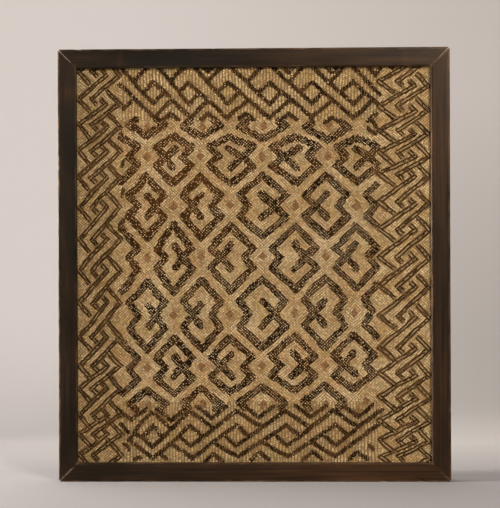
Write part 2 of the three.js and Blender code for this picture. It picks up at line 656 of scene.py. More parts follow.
# %% Lay the straw stitches
FIELD_BOTTOM, FIELD_TOP = 122, 553
STRAW = dict(length=2.9, width=3.4)
RIB = dict(length=3.4, width=4.9)
RIB_PITCH = 2 * THREADS[0]
RIB_STEP = 3.2
STRAW_CLEAR = 0.3
RIB_CLEAR = 0.5
ENDS_CLEAR = 0.25
SHORTEST = 1.3
SAMPLES = np.linspace(-0.5, 0.5, 9)


def fitted(table):
    """Shortens straw stitches to the part that is clear of dark lines, and drops the stumps."""
    reach = table["length"][:, None] * table["way"]
    spots = table["place"][:, None] + SAMPLES[None, :, None] * reach[:, None]
    free = clear_of_lines(spots) > ENDS_CLEAR
    middle = len(SAMPLES) // 2
    low = np.full(len(spots), middle)
    high = np.full(len(spots), middle)
    for step in range(1, middle + 1):
        low = np.where((low == middle - step + 1) & free[:, middle - step], middle - step, low)
        high = np.where((high == middle + step - 1) & free[:, middle + step], middle + step, high)
    share = SAMPLES[high] - SAMPLES[low]
    shift = (SAMPLES[high] + SAMPLES[low]) / 2
    table["place"] = table["place"] + (shift * table["length"])[:, None] * table["way"]
    table["length"] = table["length"] * share
    good = free[:, middle] & (table["length"] > SHORTEST)
    return {name: values[good] for name, values in table.items()}


def in_field(places):
    across = (places[:, 0] > FIELD_LEFT) & (places[:, 0] < FIELD_RIGHT)
    return across & (places[:, 1] > FIELD_BOTTOM) & (places[:, 1] < FIELD_TOP)


def in_side_border(places):
    return (places[:, 0] <= FIELD_LEFT) | (places[:, 0] >= FIELD_RIGHT)


def counted_straw(inside):
    """Straw stitches on every other thread, each along the nearest line."""
    places, even = on_threads()
    places = places[even & inside(places) & (clear_of_lines(places) > STRAW_CLEAR)]
    return stitches_of(places, line_ways[on_map(owner, places)].T, STRAW)


def up_rows(inside):
    """Straw rows that run straight up the cloth, as in the end borders."""
    tables = []
    for number, x in enumerate(np.arange(LEFT - THREADS_PAST, RIGHT + THREADS_PAST, RIB_PITCH)):
        first = BOTTOM - THREADS_PAST + RIB_STEP / 2 * (number % 2)
        z = np.arange(first, TOP + THREADS_PAST, RIB_STEP)
        places = np.stack((np.full(len(z), x), z), 1)
        places = places[on_cloth(places) & inside(places) & (clear_of_lines(places) > RIB_CLEAR)]
        if len(places):
            tables.append(stitches_of(places, UPRIGHT, RIB))
    return joined(tables)


def in_end_border(places):
    return ~in_field(places) & ~in_side_border(places)


field_rows, side_rows, end_rows = (
    fitted(rows)
    for rows in (counted_straw(in_field), counted_straw(in_side_border), up_rows(in_end_border))
)
print("straw stitches:", len(field_rows["place"]), len(side_rows["place"]), len(end_rows["place"]))

# %% [markdown]
# ## Colours of the raffia
#
# Raffia is a leaf, and straw-coloured where it is left undyed. A few colours are enough for the whole
# cloth: four tones that straw drifts to, three of the dark dye from near black to worn brown, and rust.
# They are given as a screen shows them, which is easier to judge, and turned into the values of shaders.

# %% Mix the dyes
def linear(red, green, blue):
    """A colour given as it looks on a screen, in the linear values that shaders use."""
    shown = np.array((red, green, blue)) / 255
    return np.where(shown <= 0.04045, shown / 12.92, ((shown + 0.055) / 1.055) ** 2.4)


def blended(first, second, share):
    return first + share[:, None] * (second - first)


DYES = dict(
    straw=linear(166, 138, 95), gold=linear(160, 125, 68), green=linear(148, 136, 84),
    pink=linear(170, 128, 93), pale=linear(188, 166, 128),
    black=linear(26, 13, 2), brown=linear(50, 27, 8), worn=linear(94, 58, 24), rust=linear(106, 60, 24),
)
print(len(DYES), "dyes")

# %% [markdown]
# ## Dyeing the stitches
#
# Raffia takes dye unevenly and fades unevenly. Straw stitches drift between pale, gold, greenish and
# pinkish tones in soft patches, and the dark ones from near black to brown. An image texture would
# smear over the stitches, so each stitch gets one colour, mixed from the dyes by soft noise: neighbours
# are alike but never the same. The straw of the foot border is toned darker than that of the head, as
# painted shade of a light that falls off downwards. At the end the whole work is made to wander a little.

# %% Dye the stitches
RUST_SHARES = (0.75, 1)
STRAW_TONES = (0.64, 1.34)
DARK_TONES = (0.6, 1.4)
SPECK_TONES = (0.35, 1.2)
SPECK_TONE = 1.25
FIELD_TONE = 0.97
SIDE_TONE = np.array((1.0, 0.99, 0.94))
HEAD_TONE = np.array((0.92, 0.9, 0.84))
# The straw of the end borders is darker than that of the sides by its own colour. The foot's further
# darkening below the head is painted shade: light falling off towards the bottom.
FOOT_TONE_AND_PAINTED_SHADE = np.array((0.8, 0.78, 0.71))
STRAW_PATCHES = (
    dict(dye="gold", size=5, seed=1, share=0.8), dict(dye="green", size=4.5, seed=2, share=0.45),
    dict(dye="pink", size=5, seed=3, share=0.6), dict(dye="pale", size=22, seed=4, share=0.6),
)
DARK_PATCHES = (
    dict(dye="brown", size=30, seed=5, share=0.45), dict(dye="worn", size=12, seed=6, share=0.3),
)
PATCH_CONTRAST = 2.4
PALE_MOST = 0.6
DOT_EDGE = 1.25
DOT_CONTRAST = 3
WANDER = 3.0


def patched(colour, places, patches):
    """Adds soft patches of dyes: none on much of the cloth, and the given share at their middle."""
    for patch in patches:
        spots = np.clip(PATCH_CONTRAST * soft_noise(places, patch["size"], patch["seed"]) - 1, 0, 1)
        colour = blended(colour, DYES[patch["dye"]], patch["share"] * spots)
    return colour


def straw_colours(table):
    places, count = table["place"], len(table["place"])
    colour = blended(DYES["straw"], DYES["pale"], chance.uniform(0, PALE_MOST, count))
    colour = patched(colour, places, STRAW_PATCHES)
    for x, z in dots:
        near = np.abs(places[:, 0] - x) / DOT_HALF[0] + np.abs(places[:, 1] - z) / DOT_HALF[1]
        dyed = chance.uniform(*RUST_SHARES, count) * np.clip((DOT_EDGE - near) * DOT_CONTRAST, 0, 1)
        colour = blended(colour, DYES["rust"], dyed)
    return colour * chance.uniform(*STRAW_TONES, (count, 1))


def dark_colours(table):
    places, count = table["place"], len(table["place"])
    colour = np.tile(DYES["black"], (count, 1))
    colour = patched(colour, places, DARK_PATCHES)
    colour = blended(colour, DYES["worn"], FADED["browner"] * faded(places))
    colour = colour * chance.uniform(*DARK_TONES, (count, 1))
    return blended(colour, DYES["straw"], table["pale"])


def waver(places):
    """The unevenness of the whole work: lines and rows wander together by about a millimetre."""
    wander = np.stack([soft_noise(places, size=19, seed=seed) for seed in (11, 12)], 1) - 0.5
    return places + WANDER * wander


in_head = end_rows["place"][:, 1:] > (FIELD_BOTTOM + FIELD_TOP) / 2
# Painted shade: the straw of the foot border is toned darker than the straw of the head border.
end_tone_and_painted_shade = np.where(in_head, HEAD_TONE, FOOT_TONE_AND_PAINTED_SHADE)
straw_tables = (field_rows, side_rows, end_rows, speck_stitches)
for table, tone in zip(straw_tables, (FIELD_TONE, SIDE_TONE, end_tone_and_painted_shade, SPECK_TONE)):
    table["colour"] = straw_colours(table) * tone
speck_stitches["colour"] *= chance.uniform(*SPECK_TONES, (len(speck_stitches["place"]), 1))
for table in (knot_stitches, plait_stitches):
    table["colour"] = dark_colours(table)
for table in (*straw_tables, knot_stitches, plait_stitches):
    moved = waver(table["place"])
    table["place"] = np.clip(moved, CLOTH_FROM, CLOTH_TO)
print("middle colour of the pile:", np.median(knot_stitches["colour"], axis=0).round(3))

# %% [markdown]
# ## Nodes as Python expressions
#
# Node trees are hard to read when every link is a line of code. One small class wraps an output of a
# node. Its operators add the Math nodes, and one method makes any other node from its type, its
# settings and what goes into its sockets. It serves geometry and shader trees alike.

# %% A socket that does arithmetic
class Socket:
    """One output of a node in a tree."""

    def __init__(self, tree, output):
        self.tree = tree
        self.output = output

    @staticmethod
    def make(tree, kind, settings=None, inputs=None, output=0):
        node = tree.nodes.new(kind)
        for name, value in (settings or {}).items():
            if name == "stops":
                Socket.set_stops(node.color_ramp, value)
            else:
                setattr(node, name, value)
        for key, value in (inputs or {}).items():
            if isinstance(value, Socket):
                tree.links.new(value.output, node.inputs[key])
            else:
                node.inputs[key].default_value = value
        return Socket(tree, node.outputs[output])

    @staticmethod
    def set_stops(ramp, stops):
        while len(ramp.elements) < len(stops):
            ramp.elements.new(1.0)
        for element, (position, colour) in zip(ramp.elements, stops):
            element.position = position
            element.color = colour

    def maths(self, operation, first, second):
        return Socket.make(self.tree, "ShaderNodeMath", {"operation": operation}, {0: first, 1: second})

    def __add__(self, other):
        return self.maths("ADD", self, other)

    def __sub__(self, other):
        return self.maths("SUBTRACT", self, other)

    def __rsub__(self, other):
        return self.maths("SUBTRACT", other, self)

    def __mul__(self, other):
        return self.maths("MULTIPLY", self, other)

    def sine(self):
        return self.maths("SINE", self, 0.0)

    def axes(self, names):
        return (Socket.make(self.tree, "ShaderNodeSeparateXYZ", {}, {0: self}, axis) for axis in names)

    def noise(self, scale, detail):
        sockets = {"Vector": self, "Scale": scale, "Detail": detail}
        return Socket.make(self.tree, "ShaderNodeTexNoise", {}, sockets)

    def clamped(self):
        return Socket.make(self.tree, "ShaderNodeClamp", {}, {"Value": self})

    def mixed(self, first, second):
        """A colour between two, with this value as the share of the second."""
        sockets = {0: self, 6: first, 7: second}
        return Socket.make(self.tree, "ShaderNodeMix", {"data_type": "RGBA"}, sockets, 2)


print("sockets do arithmetic")

# %% [markdown]
# ## What the finishes have in common
#
# Leaf and wood are both plant fibre: matt, with a warm shine and fine bumps. So each finish starts from
# the same shader with a tinted shine, and ends with a colour and a height that goes through a Bump node.
# These functions make that start and that end.

# %% What every finish shares
WARM = (1.0, 0.86, 0.7, 1.0)


def new_finish(name, roughness):
    """A material with its tree and shader. Leaf and wood both shine with a warm tint."""
    material = bpy.data.materials.new(name)
    material.use_nodes = True
    shader = material.node_tree.nodes["Principled BSDF"]
    shader.inputs["Roughness"].default_value = roughness
    shader.inputs["Specular Tint"].default_value = WARM
    return material, material.node_tree, shader


def coordinates(tree, kind):
    return Socket.make(tree, "ShaderNodeTexCoord", {}, {}, kind)


def attribute(tree, name, output):
    return Socket.make(tree, "ShaderNodeAttribute", {"attribute_name": name}, {}, output)


def surface(shader, colour, height, strength, distance):
    """Gives a shader its colour, and its bumps from a height."""
    sockets = {"Height": height, "Strength": strength, "Distance": distance}
    bump = Socket.make(colour.tree, "ShaderNodeBump", {}, sockets, "Normal")
    colour.tree.links.new(colour.output, shader.inputs["Base Color"])
    colour.tree.links.new(bump.output, shader.inputs["Normal"])


print("warm tint of the shine:", WARM[:3])

# %% [markdown]
# ## The finish of a raffia strand
#
# A strand of raffia is a strip of leaf: matt, with a faint shine along its length and fine fibres.
# Its colour comes with the stitch, as an attribute of the mesh, and a little noise breaks it up.

# %% Raffia strands
def strand_finish(name, roughness, shine):
    material, tree, shader = new_finish(name, roughness)
    shader.inputs["Specular IOR Level"].default_value = shine
    colour = attribute(tree, "strand_colour", "Color")
    fibre = coordinates(tree, "Object").noise(scale=1400.0, detail=2.0)
    shade = Socket.make(tree, "ShaderNodeMapRange", {}, {"Value": fibre, "To Min": 0.75, "To Max": 1.2})
    toned = Socket.make(
        tree, "ShaderNodeVectorMath", {"operation": "SCALE"}, {"Vector": colour, "Scale": shade}
    )
    surface(shader, toned, fibre, strength=0.4, distance=0.0002)
    return material


straw_finish = strand_finish("straw_raffia", roughness=0.75, shine=0.2)
dark_finish = strand_finish("dyed_raffia", roughness=0.8, shine=0.06)
print("strand finishes:", straw_finish.name, dark_finish.name)

# %% [markdown]
# ## One stitch, many times
#
# A stitch is a short strand that comes up out of the cloth and goes down again. Geometry Nodes bend
# a small grid into that arch, narrow at both ends, and set one on each point of a cloud. The points
# carry the direction, size and colour of their stitch. Realized, they are an ordinary mesh.

# %% The stitch tree
def stitch_tree():
    tree = bpy.data.node_groups.new("raffia_stitches", "GeometryNodeTree")
    kinds = {"Geometry": "Geometry", "Taper": "Float", "Sink": "Float", "Material": "Material"}
    sockets = {
        name: tree.interface.new_socket(name, in_out="INPUT", socket_type="NodeSocket" + kind)
        for name, kind in kinds.items()
    }
    tree.interface.new_socket("Geometry", in_out="OUTPUT", socket_type="NodeSocketGeometry")
    given = tree.nodes.new("NodeGroupInput")
    points, taper, sink, material = (Socket(tree, given.outputs[name]) for name in sockets)
    grid = Socket.make(tree, "GeometryNodeMeshGrid", {}, {"Vertices X": 4, "Vertices Y": 3}, "Mesh")
    position = Socket.make(tree, "GeometryNodeInputPosition")
    x, y = position.axes("XY")
    breadth = 1 - taper * (x * x) * 4
    crest = (1 - (y * y) * 4) * breadth - sink
    bent = Socket.make(tree, "ShaderNodeCombineXYZ", {}, {"X": x, "Y": y * breadth, "Z": crest})
    strand = Socket.make(tree, "GeometryNodeSetPosition", {}, {"Geometry": grid, "Position": bent})
    way, size = (
        Socket.make(tree, "GeometryNodeInputNamedAttribute", {"data_type": "FLOAT_VECTOR"}, {"Name": name})
        for name in ("strand_way", "strand_size")
    )
    turn = Socket.make(
        tree,
        "FunctionNodeAxesToRotation",
        {"primary_axis": "Z", "secondary_axis": "X"},
        {"Primary Axis": (0.0, -1.0, 0.0), "Secondary Axis": way},
    )
    sewn = Socket.make(
        tree,
        "GeometryNodeInstanceOnPoints",
        {},
        {"Points": points, "Instance": strand, "Rotation": turn, "Scale": size},
    )
    mesh = Socket.make(tree, "GeometryNodeRealizeInstances", {}, {"Geometry": sewn})
    for name in ("strand_way", "strand_size"):
        mesh = Socket.make(tree, "GeometryNodeRemoveAttribute", {}, {"Geometry": mesh, "Name": name})
    mesh = Socket.make(tree, "GeometryNodeSetShadeSmooth", {}, {"Geometry": mesh})
    mesh = Socket.make(tree, "GeometryNodeSetMaterial", {}, {"Geometry": mesh, "Material": material})
    tree.links.new(mesh.output, tree.nodes.new("NodeGroupOutput").inputs["Geometry"])
    return tree, {name: socket.identifier for name, socket in sockets.items()}


stitches, stitch_inputs = stitch_tree()
print("stitch tree has", len(stitches.nodes), "nodes")

# %% [markdown]
# ## Sewing
#
# On the real cloth all this was sewn by hand, thread by thread. Here each table of stitches becomes a
# cloud of points on the face of the cloth, and the stitch tree turns the cloud into one mesh. The
# tables stay apart, so that dark pile, straw and specks each have their own height and finish. Dark
# tufts are cut close, and the specks stand a little above them. The bed that the stitches stand on lies
# behind the face of the solid, so that their crowns come about level with it.

# %% Sew a table of stitches
STITCH_BED = 1.1
OVERLAP = 1.1


def add_piece(name, mesh):
    piece = bpy.data.objects.new(name, mesh)
    bpy.context.scene.collection.objects.link(piece)
    return piece


def with_attribute(mesh, name, kind, values):
    field = "color" if kind == "FLOAT_COLOR" else "vector"
    mesh.attributes.new(name, kind, "POINT").data.foreach_set(field, values.astype(np.float32).ravel())


def sewn_piece(name, table, finish, lift, taper, sink):
    """One mesh of all the stitches of a table, on the face of the cloth."""
    x, z = table["place"].T
    count = len(x)
    face = cloth_face(x, z) + STITCH_BED
    points = bpy.data.meshes.new(name + "_points")
    points.vertices.add(count)
    points.vertices.foreach_set("co", (np.stack((x, face, z), 1) * MM).astype(np.float32).ravel())
    way = np.stack((table["way"][:, 0], np.zeros(count), table["way"][:, 1]), 1)
    size = np.stack((table["length"] * OVERLAP, table["width"], np.full(count, lift)), 1) * MM
    with_attribute(points, "strand_way", "FLOAT_VECTOR", way)
    with_attribute(points, "strand_size", "FLOAT_VECTOR", size)
    with_attribute(points, "strand_colour", "FLOAT_COLOR", np.column_stack((table["colour"], np.ones(count))))
    cloud = add_piece(name + "_points", points)
    sewing = cloud.modifiers.new("sewing", "NODES")
    sewing.node_group = stitches
    sewing[stitch_inputs["Taper"]] = taper
    sewing[stitch_inputs["Sink"]] = sink
    sewing[stitch_inputs["Material"]] = finish
    graph = bpy.context.evaluated_depsgraph_get()
    mesh = bpy.data.meshes.new_from_object(cloud.evaluated_get(graph), depsgraph=graph)
    mesh.name = name
    bpy.data.objects.remove(cloud)
    print(name, count, "stitches,", len(mesh.polygons) * 2, "triangles")
    return add_piece(name, mesh)


sewn = [
    sewn_piece("knot_pile", knot_stitches, dark_finish, lift=1.0, taper=0.4, sink=0.2),
    sewn_piece("plait_stitches", plait_stitches, dark_finish, lift=1.0, taper=0.45, sink=0.2),
    sewn_piece("pale_specks", speck_stitches, straw_finish, lift=1.5, taper=0.5, sink=0.05),
    sewn_piece("field_straw", field_rows, straw_finish, lift=0.9, taper=0.55, sink=0.25),
    sewn_piece("side_straw", side_rows, straw_finish, lift=0.9, taper=0.55, sink=0.25),
    sewn_piece("end_straw", end_rows, straw_finish, lift=0.7, taper=0.8, sink=0.25),
]

# %% [markdown]
# ## The woven ground
#
# Behind the stitches lies the plain raffia cloth, a weave of flat strips, over one and under one. It
# shows in the small gaps between stitches, and as a whole from behind. The strips are narrow and lie
# close, so they are a pattern of bumps and tones in the finish. Both tones are darker than the straw
# stitches, as painted shade in the gaps between them. The low parts of the weave take more of the
# darker tone, as painted shade in its hollows.

# %% Weave finish
WEAVE_PITCH = 0.0017


def weave_finish():
    material, tree, shader = new_finish("raffia_weave", 0.85)
    shader.inputs["Specular IOR Level"].default_value = 0.2
    place = coordinates(tree, "Object")
    warp, weft = ((axis * (math.pi / WEAVE_PITCH)).sine() for axis in place.axes("XZ"))
    height = warp * weft * 0.5 + 0.5
    drift = place.noise(scale=28.0, detail=4.0)
    strip = place.noise(scale=420.0, detail=2.0)
    # Painted shade: both tones of the ground are darker than the straw, so that the gaps between the stitches
    # read as shaded.
    pale, tan = (*linear(138, 110, 72), 1.0), (*linear(90, 66, 38), 1.0)
    # Painted shade: the lower a bump of the weave, the more of the darker tan it gets.
    share = (drift * 0.9 + strip * 0.5 - height * 0.35).clamped()
    surface(shader, share.mixed(pale, tan), height, strength=0.8, distance=0.0006)
    return material


ground_finish = weave_finish()
print("weave of", WEAVE_PITCH / MM, "mm strips")

# %% [markdown]
# ## The sheet itself
#
# The cloth is cut larger than the opening, and its edges lie in the groove of the rails. So the sheet
# covers the whole cut cloth. It is a grid laid on the face of its solid, just behind the stitches, with
# the same slight swells, and a modifier gives it its thickness.

# %% The ground sheet
SHEET_THICKNESS = 0.8
SHEET_CELL = 9
WITHIN = 0.01
QUAD = ((0, 0), (0, 1), (1, 1), (1, 0))


def grid_faces(rows, columns, rows_meet=False, columns_meet=False):
    """Faces over points that lie in rows. Rows or columns that meet go on from the last to the first."""
    return [
        [(row + up) % rows * columns + (column + over) % columns for up, over in QUAD]
        for row in range(rows if rows_meet else rows - 1)
        for column in range(columns if columns_meet else columns - 1)
    ]


def ground_sheet():
    """A grid over the whole cut cloth, just behind the stitches."""
    x = np.linspace(cloth_low.x, cloth_high.x, round((cloth_high.x - cloth_low.x) / SHEET_CELL))
    z = np.linspace(cloth_low.z, cloth_high.z, round((cloth_high.z - cloth_low.z) / SHEET_CELL))
    grid_x, grid_z = (g.ravel() for g in np.meshgrid(x, z))
    face = cloth_face(
        np.clip(grid_x, cloth_low.x + WITHIN, cloth_high.x - WITHIN),
        np.clip(grid_z, cloth_low.z + WITHIN, cloth_high.z - WITHIN),
    )
    corners = np.stack((grid_x, face + STITCH_BED, grid_z), 1) * MM
    mesh = bpy.data.meshes.new("ground_cloth")
    mesh.from_pydata(corners.tolist(), [], grid_faces(len(z), len(x)))
    mesh.shade_smooth()
    mesh.materials.append(ground_finish)
    piece = add_piece("ground_cloth", mesh)
    thick = piece.modifiers.new("thickness", "SOLIDIFY")
    thick.thickness = SHEET_THICKNESS * MM
    thick.offset = -1
    return piece


ground = ground_sheet()
print("ground sheet", len(ground.data.polygons), "cells")

# %% [markdown]
# ## The rails
#
# Each rail is a length of flat moulding, mitred at both ends. The solid has the right section, but real
# wood has softened edges, nicks and no perfect line. So each rail is drawn out again from the same section
# with rounded edges, in short steps, and its edges waver a little and are nicked here and there. The
# groove for the cloth is the one that the solid has.

# %% Section of a rail
RAIL_FACE = BOTTOM
RAIL_DEPTH = (cad_high.y - cad_low.y) / MM
GROOVE_FRONT = 24.0
GROOVE_WIDTH = 2.6
GROOVE_DEPTH = 10.3
ROUND = 1.3
BACK_ROUND = 0.7


def rounded(across, forward, radius, first_turn):
    """Points of a quarter circle inside a corner, each with a mark that it lies on an edge."""
    turns = np.radians(first_turn + np.array((0.0, 30.0, 60.0, 90.0)))
    return [(across + radius * math.cos(t), forward + radius * math.sin(t), 1.0) for t in turns]


def rail_section():
    """Points round a rail: how far across from its outer edge, how far forward, and whether on an edge."""
    inner, front = RAIL_FACE, RAIL_DEPTH
    groove_back = GROOVE_FRONT - GROOVE_WIDTH
    groove_floor = inner - GROOVE_DEPTH
    points = rounded(BACK_ROUND, BACK_ROUND, BACK_ROUND, 180)
    points += rounded(inner - BACK_ROUND, BACK_ROUND, BACK_ROUND, 270)
    points += [(inner, groove_back, 0), (groove_floor, groove_back, 0)]
    points += [(groove_floor, GROOVE_FRONT, 0), (inner, GROOVE_FRONT, 0)]
    points += [(inner, front - 3 * ROUND, 0)]
    points += rounded(inner - ROUND, front - ROUND, ROUND, 0)
    points += [(share * inner, front, 0) for share in (0.88, 0.7, 0.5, 0.3, 0.12)]
    points += rounded(ROUND, front - ROUND, ROUND, 90)
    points += [(0, front - 3 * ROUND, 0)]
    return np.array(points)


section = rail_section()
print("rail", round(RAIL_FACE), "by", round(RAIL_DEPTH), "mm,", len(section), "points round it")

# %% [markdown]
# ## Wear
#
# Hands and knocks wear a frame at its outer edges and its mitres first, and stain takes better in one
# place than in another. Random wear alone looks the same everywhere, so it is charted for each rail: a
# nick, or a place where the wood is lighter or darker, has its middle along the rail, its reach, and its
# depth or strength. The broad lighter places towards the top right are painted sheen, and the darker ones
# at the top left and on the left rail are painted shade. The rest are stain. Only the slow waver of the
# edges is left to chance.

# %% Wear on the rails
ACROSS, FORWARD, EDGE = (section[None, :, axis] for axis in range(3))
OUTSIDE = ACROSS < RAIL_FACE / 2
IN_FRONT_HALF = FORWARD > RAIL_DEPTH / 2
NICKS = {
    "rail_bottom": ((255, 4.5, 2.2), (197, 3.0, 1.2), (-120, 2.0, 0.6)),
    "rail_left": ((-150, 2.5, 0.7), (190, 2.0, 0.6)),
    "rail_top": ((268, 4.0, 1.6), (60, 2.0, 0.5)),
    "rail_right": ((-220, 2.5, 0.7), (40, 2.0, 0.5)),
}
# Places along each rail where the wood is lighter or darker: middle, reach and strength. The narrow marks and
# the lighter places at the bottom right are stain. The broad lighter places towards the top right of the top
# and right rails are painted sheen. The darker places at the top left of the top rail and along the left rail
# are painted shade.
STAIN_AND_PAINTED_SHEEN = {
    "rail_bottom": ((180, 150, 0.65), (-220, 150, -0.2), (-60, 40, 0.15)),
    "rail_left": ((-265, 9, 0.4), (0, 400, -0.3), (60, 60, 0.15)),
    "rail_top": ((-190, 120, 0.3), (150, 150, -0.5), (203, 3, 0.6), (-232, 3, 0.5)),
    "rail_right": ((230, 150, 0.45), (-240, 40, 0.2)),
}
MITRE_WEAR = {
    "rail_bottom": (0.7, 0.4), "rail_left": (0.3, 0.6), "rail_top": (0.9, 0.4), "rail_right": (0.3, 0.9),
}
WAVER = dict(steps=7, middle=0.08, spread=0.1, most=0.4, first_seed=5)


def edge_wear(along, nicks, seed):
    """How far back each point of a rail is worn, in mm: a slow waver on the edges, and the nicks."""
    turning = np.arange(0, len(along) + WAVER["steps"], WAVER["steps"])
    draws = np.random.default_rng(seed).normal(WAVER["middle"], WAVER["spread"], len(turning))
    slow = np.interp(np.arange(len(along)), turning, draws)
    wear = np.clip(slow, 0, WAVER["most"])[:, None] * EDGE
    for where, reach, depth in nicks:
        wear = wear + depth * np.exp(-(((along - where) / reach) ** 4)) * EDGE * OUTSIDE * IN_FRONT_HALF
    return wear


print(sum(len(nicks) for nicks in NICKS.values()), "nicks")

# %% [markdown]
# ## Drawing out the rails
#
# A rail is swept along the frame's edge in steps of a few millimetres. The mitre makes each point of the
# section run a little shorter than the one outside it. A curve with a bevel can't do that, so the points
# are placed one by one. Grain runs along the rail, so the finish needs to know which way that is: a UV
# map holds the distance along and the distance round, in metres. One attribute marks the worn edges and
# mitres. Another says where the stain is thin or thick, and where painted sheen and painted shade lie.

# %% Sweep a rail
STEP = 4.5
MITRE_GAP = 0.42
CORNER_ROUND = 2.2
MIDDLE_Z = (cad_low.z + cad_high.z) / 2 / MM
WEAR_SHARE = 0.7
OUTSIDE_WORN, INSIDE_WORN = 0.55, 0.15
GRAIN_SHIFT = np.array((3.0, 0.7))
SHARP = math.radians(40)


def rail_mesh(name, outer_length, reach, turn):
    """A swept rail: the bottom one, turned by quarters about the middle of the frame."""
    count, around = round(outer_length / STEP), len(section)
    cut = 2 * np.maximum(CORNER_ROUND - ACROSS, 0)
    along = np.linspace(-0.5, 0.5, count + 1)[:, None] * (outer_length - 2 * ACROSS - MITRE_GAP - cut)
    wear = edge_wear(along, NICKS[name], turn + WAVER["first_seed"])
    x = along
    y = RAIL_DEPTH / 2 - FORWARD + WEAR_SHARE * wear * np.where(IN_FRONT_HALF, 1, -1)
    z = ACROSS + WEAR_SHARE * wear * np.where(OUTSIDE, 1, -1) - reach
    for _ in range(turn):
        x, z = z, -x
    points = np.stack((x, y, z + MIDDLE_Z), 2).reshape(-1, 3) * MM
    ring = np.arange(around)
    faces = grid_faces(count + 1, around, columns_meet=True)
    faces += [ring[::-1].tolist(), (count * around + ring).tolist()]
    mesh = bpy.data.meshes.new(name + "_wood")
    mesh.from_pydata(points.tolist(), [], faces)
    mesh.shade_smooth()
    mesh.set_sharp_from_angle(angle=SHARP)
    girth = np.concatenate(((0,), np.cumsum(np.hypot(*np.diff(section[:, :2], axis=0).T))))
    spread = np.stack(np.broadcast_arrays(along, girth[None, :]), 2).reshape(-1, 2) * MM
    spread = spread + GRAIN_SHIFT * turn
    corners = np.zeros(len(mesh.loops), np.int32)
    mesh.loops.foreach_get("vertex_index", corners)
    mesh.uv_layers.new(name="grain").data.foreach_set("uv", spread[corners].astype(np.float32).ravel())
    worn = EDGE * np.where(OUTSIDE, OUTSIDE_WORN, INSIDE_WORN) + wear
    worn[0] += MITRE_WEAR[name][0]
    worn[-1] += MITRE_WEAR[name][1]
    # Lighter and darker places along the rail. Some are stain. The broad ones towards the top right, at the
    # top left and on the left rail are painted sheen and painted shade.
    thin = sum(most * np.exp(-(((along - where) / far) ** 2)) for where, far, most in STAIN_AND_PAINTED_SHEEN[name])
    for label, values in (("worn", np.clip(worn, 0, 1)), ("thin", thin)):
        spots = mesh.attributes.new(label, "FLOAT", "POINT").data
        spots.foreach_set("value", values.astype(np.float32).ravel())
    return mesh


WIDE, HIGH = (cad_high.x - cad_low.x) / MM, (cad_high.z - cad_low.z) / MM
rails = {}
for turn, name in enumerate(NICKS):
    length, across = (WIDE, HIGH) if turn % 2 == 0 else (HIGH, WIDE)
    rails[name] = add_piece(name + "_wood", rail_mesh(name, length, across / 2, turn))
print("rails:", {name: len(rail.data.polygons) for name, rail in rails.items()})

# %% [markdown]
# ## Stained wood
#
# The wood is stained nearly black, and the grain shows as brown streaks where the stain took less. The
# streaks are also painted lighter towards the top right, as painted sheen, and darker at the top left and
# on the left rail, as painted shade. Fine pores are darker dashes. On the edges the stain is worn to a
# lighter brown, in patches. Noise that is drawn out along the rail makes the streaks and the pores.

# %% Wood finish
def stretched_noise(tree, u, v, along, round_it, detail=4.0):
    """Noise that is drawn out along the rail: its scale along and round the rail, per metre."""
    place = Socket.make(tree, "ShaderNodeCombineXYZ", {}, {"X": u * along, "Y": v * round_it})
    return place.noise(1.0, detail)


def ranged(value, low, high, to_low=0.0, to_high=1.0):
    """A value brought from one range to another, and kept inside it."""
    sockets = {"Value": value, "From Min": low, "From Max": high, "To Min": to_low, "To Max": to_high}
    return Socket.make(value.tree, "ShaderNodeMapRange", {}, sockets)


def wood_finish():
    material, tree, shader = new_finish("stained_wood", 0.5)
    shader.inputs["Specular IOR Level"].default_value = 0.18
    u, v = coordinates(tree, "UV").axes("XY")
    streak = stretched_noise(tree, u, v, along=7.0, round_it=260.0, detail=6.0)
    broad = stretched_noise(tree, u, v, along=9.0, round_it=30.0)
    pore = stretched_noise(tree, u, v, along=90.0, round_it=1900.0, detail=2.0)
    patch = stretched_noise(tree, u, v, along=45.0, round_it=200.0)
    worn, thin = (attribute(tree, name, "Fac") for name in ("worn", "thin"))
    black, brown = (*linear(15, 10, 5), 1.0), (*linear(64, 40, 20), 1.0)
    bare = (*linear(112, 82, 54), 1.0)
    grain = ranged(streak, 0.3, 0.85) * ranged(broad, 0.3, 0.7, 0.3)
    # This term lightens the grain streaks where the stain is thin. It also paints sheen towards the top
    # right, and shade at the top left and on the left rail.
    light = (grain + thin * ranged(streak, 0.2, 0.7)).clamped()
    stained = light.mixed(black, brown)
    rubbed = (worn * ranged(patch, 0.42, 0.68)).clamped()
    colour = rubbed.mixed(stained, bare)
    deep = ranged(pore, 0.6, 0.7)
    colour = (deep * 0.6).mixed(colour, (*linear(22, 15, 10), 1.0))
    tree.links.new(ranged(broad, 0.3, 0.7, 0.3, 0.44).output, shader.inputs["Roughness"])
    surface(shader, colour, streak * 0.6 - deep * 0.5, strength=0.3, distance=0.0004)
    return material


wood = wood_finish()
for rail in rails.values():
    rail.data.materials.append(wood)
print("wood finish on", len(rails), "rails")

# %% [markdown]
# ## The cove
#
# The panel stands on a pale studio sweep: a floor that curves up into a wall all the way round, so that
# no horizon shows from any side. Its paper is painted a little darker to the right and in front, as
# painted shade where the light leaves it. The tones are for the floor, the foot of the wall and the wall.

# %% Build the cove
FLOOR_REACH = 1.4
CURVE = 2.4
WALL_TOP = 5.0
SECTORS = 96
